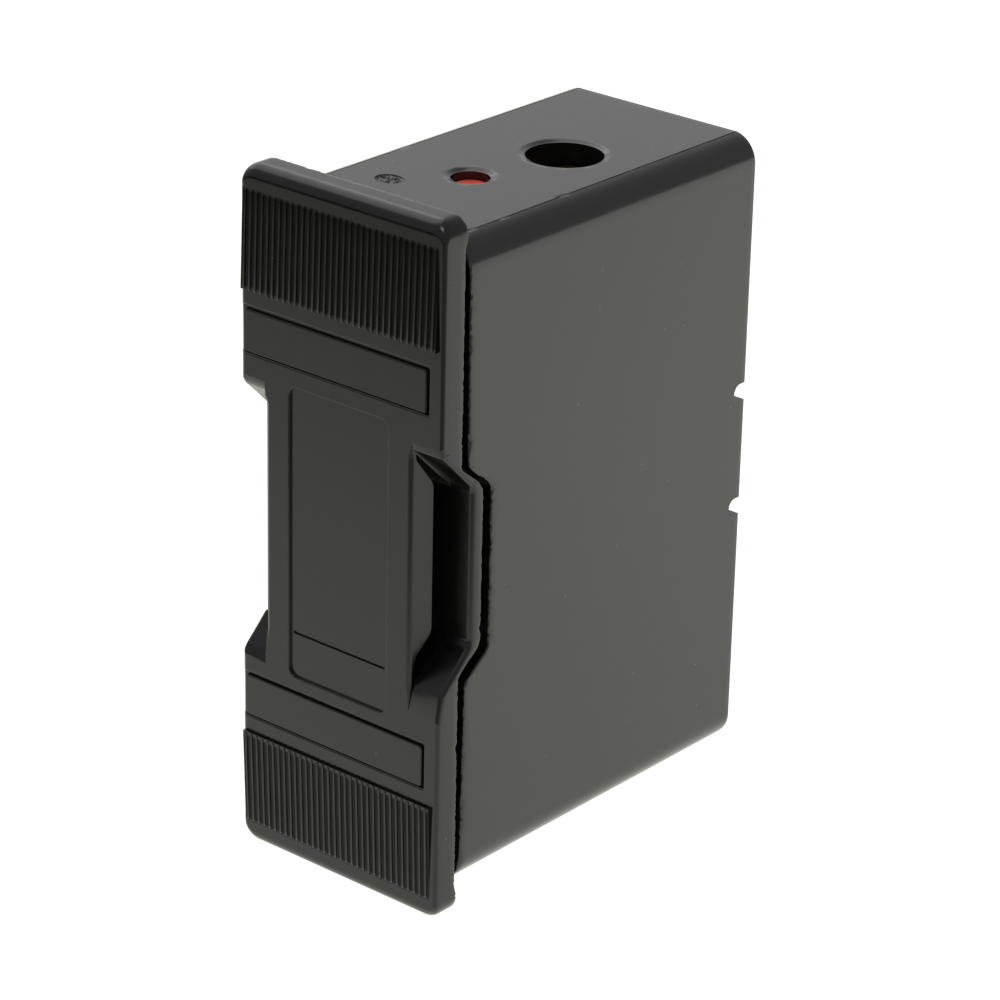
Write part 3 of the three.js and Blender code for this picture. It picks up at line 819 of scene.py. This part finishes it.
def matt_and_shaded_grooves(n):
    """Lowers the specular level in the grooves between the ribs: partly their matt moulded finish, partly
    painted shade in place of the shade that falls between the ribs.
    """
    place = n.tree.nodes.new("ShaderNodeSeparateXYZ")
    n.tree.links.new(n.place, place.inputs["Vector"])
    across = n.math("ABSOLUTE", place.outputs["X"])
    height = n.math("ABSOLUTE", place.outputs["Z"])
    inside = n.spread(height, *(v * MM for v in RIB_MASK["near"]))
    inside = n.math("MULTIPLY", inside, n.spread(height, *(v * MM for v in RIB_MASK["far"])))
    inside = n.math("MULTIPLY", inside, n.spread(across, *(v * MM for v in RIB_MASK["side"])))
    phase = n.math("FRACT", n.math("MULTIPLY", place.outputs["X"], 1 / (RIBS["pitch"] * MM)))
    crest = 0.0 if RIBS["count"] % 2 else 0.5
    offset = n.math("ABSOLUTE", n.math("SUBTRACT", phase, 0.5))
    distance = n.math("ABSOLUTE", n.math("SUBTRACT", offset, 0.5 - crest))
    groove = n.math("MULTIPLY", n.spread(distance, *RIB_MASK["crest"]), inside)
    # Painted shade: the low specular level darkens the grooves where shade falls between the ribs, as well as
    # making them matt.
    n.link(n.spread(groove, 0.0, 1.0, 0.5, GROOVE_SPECULAR), n.shader.inputs["Specular IOR Level"])
    return n


def metal(name, colour, low, high, brush=(1, 1, 1), tint=0.12, stain=None):
    """Plain, plated or brushed metal with handling marks and a slightly uneven finish."""
    n = Nodes(name)
    streaks = n.noise(2.5, 4.0, 0.6, n.stretched(*brush))
    cloud = n.noise(0.18, 3.0)
    dark = tuple(c * (1 - tint) for c in colour) + (1.0,)
    light = tuple(min(1.0, c * (1 + tint * 0.6)) for c in colour) + (1.0,)
    shade = n.mix(n.spread(cloud, 0.3, 0.7), dark, light)
    if stain:
        shade = n.mix(n.spread(n.noise(0.5, 5.0, 0.7), 0.56, 0.72, 0.0, 0.7), shade, (*stain, 1.0))
    n.link(shade, n.shader.inputs["Base Color"])
    n.shader.inputs["Metallic"].default_value = 1.0
    n.link(n.spread(streaks, 0.25, 0.75, low, high), n.shader.inputs["Roughness"])
    n.bump(streaks, 0.008, 0.5)
    return n.material


def glazed_ceramic(name):
    """Off-white ceramic under a smooth glaze, with a few brown specks."""
    n = Nodes(name)
    cloud = n.noise(0.12, 3.0)
    colour = n.mix(n.spread(cloud, 0.3, 0.7), (0.72, 0.69, 0.61, 1), (0.82, 0.80, 0.74, 1))
    specks = n.specks(0.6, 0.14, 0.12)
    colour = n.mix(n.math("MULTIPLY", specks, 0.5), colour, (0.35, 0.30, 0.24, 1))
    n.link(colour, n.shader.inputs["Base Color"])
    n.link(n.spread(n.noise(0.5, 2.0), 0.3, 0.7, 0.16, 0.3), n.shader.inputs["Roughness"])
    n.bump(n.noise(0.25, 3.0), 0.03, 0.5)
    return n.material


def red_seal(name):
    """Red sealing compound, slightly mottled."""
    n = Nodes(name)
    cloud = n.noise(0.9, 4.0)
    colour = n.mix(n.spread(cloud, 0.3, 0.7), (0.80, 0.06, 0.04, 1), (0.92, 0.10, 0.07, 1))
    colour = n.mix(n.math("MULTIPLY", n.specks(2.2, 0.2, 0.15), 0.6), colour, (0.55, 0.3, 0.26, 1))
    n.link(colour, n.shader.inputs["Base Color"])
    n.link(n.spread(n.noise(2.0, 2.0), 0.3, 0.7, 0.38, 0.55), n.shader.inputs["Roughness"])
    n.bump(n.noise(1.4, 3.0), 0.03, 0.6)
    return n.material


BASE_BLACK = black_moulding("base_black", 0.006, 1.55, 0.17, 0.23).material
CARRIER_BLACK = matt_and_shaded_grooves(black_moulding("carrier_black", 0.004, 1.46, 0.18, 0.24)).material
TIN = metal("dull_tin", (0.66, 0.65, 0.61), 0.26, 0.42, (1, 1, 4), stain=(0.46, 0.40, 0.32))
SPRING = metal("spring_steel", (0.52, 0.54, 0.56), 0.2, 0.34, (6, 1, 1))
ZINC = metal("zinc_plate", (0.58, 0.59, 0.58), 0.24, 0.4, (1, 1, 1), 0.18, (0.42, 0.38, 0.26))
BRASS = metal("machined_brass", (0.52, 0.38, 0.19), 0.22, 0.38, (6, 1, 1), 0.15, (0.40, 0.24, 0.12))
SILVER = metal("silvered_strip", (0.78, 0.77, 0.73), 0.18, 0.3, (1, 1, 5))
CERAMIC = glazed_ceramic("glazed_ceramic")
RED = red_seal("red_seal")


# ---- pieces -------------------------------------------------------------------------

def sealing_plug(side):
    """The moulded disc that closes the screw hole: a shallow dish with a gate mark."""
    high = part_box("upper_sealing_plug")[1] / MM
    r, z, inner_z = PLUG["r"], high.z, PLUG["inner_z"]
    profile = [(0, inner_z), (r, inner_z), (r, z - 0.14), (r - 0.05, z - 0.04), (r - 0.16, z),
               (r - 0.5, z - 0.03), (0.75, z - 0.06), (0.42, z - 0.07), (0.34, z - 0.2),
               (0.2, z - 0.22), (0, z - 0.22)]
    centre = (SEAL_HOLE["x"], SEAL_HOLE["y"])
    return lathe("plug", [(rr, side * zz) for rr, zz in profile], centre, "Z", 48)


def fuse_barrel():
    """The fuse link's ceramic tube, with its ends slightly rounded."""
    low, high = (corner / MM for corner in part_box("fuse_body"))
    centre = ((low.x + high.x) / 2, (low.y + high.y) / 2)
    r, end = (high.x - low.x) / 2, high.z
    edge = [(r - 0.5 + 0.5 * math.cos(a), end - 0.5 + 0.5 * math.sin(a)) for a in SHOULDER_ANGLES]
    profile = [(0, -end)] + [(rr, -zz) for rr, zz in reversed(edge)] + edge + [(0, end)]
    body = lathe("fuse_barrel", profile, centre, "Z", 72)
    carve(body, bore_tool(FUSE_BORE_R, (-end - 1, end + 1), centre, count=48))
    return body


def ferrule(end, side):
    """A pressed end cap: a cup with a rounded shoulder, a rolled crimp and a boss under the tag."""
    low, high = (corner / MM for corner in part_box(f"{end}_end_cap"))
    centre, r = ((low.x + high.x) / 2, (low.y + high.y) / 2), (high.x - low.x) / 2
    top, skirt = max(abs(low.z), abs(high.z)), min(abs(low.z), abs(high.z))
    profile = [(0, top - 0.38), (r - CAP_WALL, top - 0.38), (r - CAP_WALL, skirt + 0.08),
               (r - 0.27, skirt), (r - 0.1, skirt), (r, skirt + 0.1)]
    profile += [(r - 0.14 * math.sin(math.pi * k / 8), skirt + 1.2 + 0.1 * k) for k in range(9)]
    profile += [(r - 0.7 * (1 - math.cos(a)), top - 0.7 * (1 - math.sin(a))) for a in SHOULDER_ANGLES]
    profile += [(3.2, top), (3.0, top + 0.25), (0, top + 0.25)]
    return lathe("ferrule", [(rr, side * zz) for rr, zz in profile], centre, "Z", 72)


def dress(node_name, look):
    """Gives a CAD node its one material."""
    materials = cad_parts[node_name].data.materials
    materials.clear()
    materials.append(look)


finish(base_housing(), "base", "base_moulding", BASE_BLACK, "base_housing")
finish(carrier_body(), "carrier", "carrier_moulding", CARRIER_BLACK, "carrier_body")
for side, end in ENDS:
    plug = sealing_plug(side)
    plug.name = f"{end}_plug_disc"
    finish(plug, "base", "red_seal", RED, f"{end}_sealing_plug")
finish(fuse_barrel(), "fuse_link", "fuse_ceramic", CERAMIC, "fuse_body")
for side, end in ENDS:
    cap = ferrule(end, side)
    cap.name = f"{end}_ferrule"
    finish(cap, "fuse_link", "fuse_cap", TIN, f"{end}_end_cap")

CAD_LOOKS = {
    "fuse_tag": TIN, "carrier_contact": TIN, "fixed_contact": TIN,
    "clip_spring": SPRING, "jaw_spring": SPRING, "carrier_screw": ZINC, "terminal_screw": ZINC,
    "contact_screw": ZINC, "clamp_plate": ZINC, "terminal_block": BRASS,
}
for name, look in CAD_LOOKS.items():
    for _, end in ENDS:
        dress(f"{end}_{name}", look)
dress("fuse_element", SILVER)


# ---- studio -------------------------------------------------------------------------

def camera():
    """The view: 40.1 degrees to the right, 23.6 down, with a slight roll."""
    azimuth, elevation, roll = math.radians(40.11), math.radians(23.625), math.radians(1.317)
    eye = Vector((248.524, -320.051, 166.054)) * MM
    right = Vector((math.cos(azimuth), math.sin(azimuth), 0))
    level = math.cos(elevation)
    back = Vector((math.sin(azimuth) * level, -math.cos(azimuth) * level, math.sin(elevation)))
    up = back.cross(right)
    rolled_right = right * math.cos(roll) + up * math.sin(roll)
    rolled_up = up * math.cos(roll) - right * math.sin(roll)
    data = bpy.data.cameras.new("camera")
    data.lens = 141.18
    data.sensor_width = 36
    data.clip_start = 0.01
    obj = bpy.data.objects.new("camera", data)
    turn = Matrix((rolled_right, rolled_up, back)).transposed()
    obj.matrix_world = Matrix.Translation(eye) @ turn.to_4x4()
    scene.collection.objects.link(obj)
    scene.camera = obj


def soft_light(name, place, target, size, power):
    """A round area light that faces the target."""
    data = bpy.data.lights.new(name, "AREA")
    data.shape = "DISK"
    data.size = size
    data.energy = power
    obj = bpy.data.objects.new(name, data)
    obj.location = place
    obj.rotation_euler = (Vector(place) - Vector(target)).to_track_quat("Z", "Y").to_euler()
    scene.collection.objects.link(obj)


def direction(azimuth, elevation):
    """A unit vector; azimuth is measured from +Y towards +X."""
    a, e = math.radians(azimuth), math.radians(elevation)
    return Vector((math.sin(a) * math.cos(e), math.cos(a) * math.cos(e), math.sin(e)))


def map_range(tree, value, low, high, to_low, to_high):
    node = tree.nodes.new("ShaderNodeMapRange")
    node.interpolation_type = "SMOOTHSTEP"
    limits = (("From Min", low), ("From Max", high), ("To Min", to_low), ("To Max", to_high))
    for key, number in limits:
        node.inputs[key].default_value = number
    tree.links.new(value, node.inputs["Value"])
    return node.outputs["Result"]


def along(tree, vector, axis):
    """How far a point or direction lies along an axis."""
    node = tree.nodes.new("ShaderNodeVectorMath")
    node.operation = "DOT_PRODUCT"
    tree.links.new(vector, node.inputs[0])
    node.inputs[1].default_value = axis
    return node.outputs["Value"]


def combined(tree, operation, a, b):
    node = tree.nodes.new("ShaderNodeMath")
    node.operation = operation
    tree.links.new(a, node.inputs[0])
    tree.links.new(b, node.inputs[1])
    return node.outputs[0]


def floor_light(tree):
    """A light table: a little brighter behind the object, dimmer far in front and to the right of it."""
    tree.nodes.remove(tree.nodes["Principled BSDF"])
    place = tree.nodes.new("ShaderNodeTexCoord").outputs["Object"]
    depth = along(tree, place, (0.679, 0.734, 0))
    near = map_range(tree, depth, -0.48, -0.05, 0.12, 1.14)
    far = map_range(tree, depth, -0.06, 0.12, 0.0, 0.24)
    shade = map_range(tree, along(tree, place, (0.5, -0.866, 0)), 0.095, 0.15, 1.0, 0.35)
    glow = tree.nodes.new("ShaderNodeEmission")
    glow.inputs["Color"].default_value = (1.0, 1.0, 0.93, 1.0)
    power = combined(tree, "MULTIPLY", combined(tree, "ADD", near, far), shade)
    tree.links.new(power, glow.inputs["Strength"])
    tree.links.new(glow.outputs[0], tree.nodes["Material Output"].inputs["Surface"])


def world_light():
    """Dim grey surroundings, lighter low down behind the object's left."""
    world = bpy.data.worlds.new("studio")
    world.use_nodes = True
    scene.world = world
    tree = world.node_tree
    place = tree.nodes.new("ShaderNodeTexCoord").outputs["Generated"]
    lobe = along(tree, place, direction(-34, 10))
    background = tree.nodes["Background"]
    background.inputs["Color"].default_value = (1, 1, 1, 1)
    tree.links.new(map_range(tree, lobe, 0.7, 0.99, 0.42, 0.78), background.inputs["Strength"])


def studio():
    """The light table under the object, the surroundings and two softboxes."""
    floor_z = cad_box[0][2]
    size = 4.0
    mesh = bpy.data.meshes.new("floor")
    corners = [(-size, -size), (size, -size), (size, size), (-size, size)]
    mesh.from_pydata([(x, y, floor_z) for x, y in corners], [], [(0, 1, 2, 3)])
    floor = bpy.data.objects.new("floor", mesh)
    scene.collection.objects.link(floor)
    material = bpy.data.materials.new("pale_floor")
    material.use_nodes = True
    floor_light(material.node_tree)
    mesh.materials.append(material)
    world_light()
    soft_light("left_softbox", direction(-76, 46), (0, 0, 0), 1.15, 3.8)
    soft_light("overhead", direction(172, 66), (0, 0, 0), 0.3, 1.1)
    scene.view_settings.view_transform = "Standard"


camera()
studio()
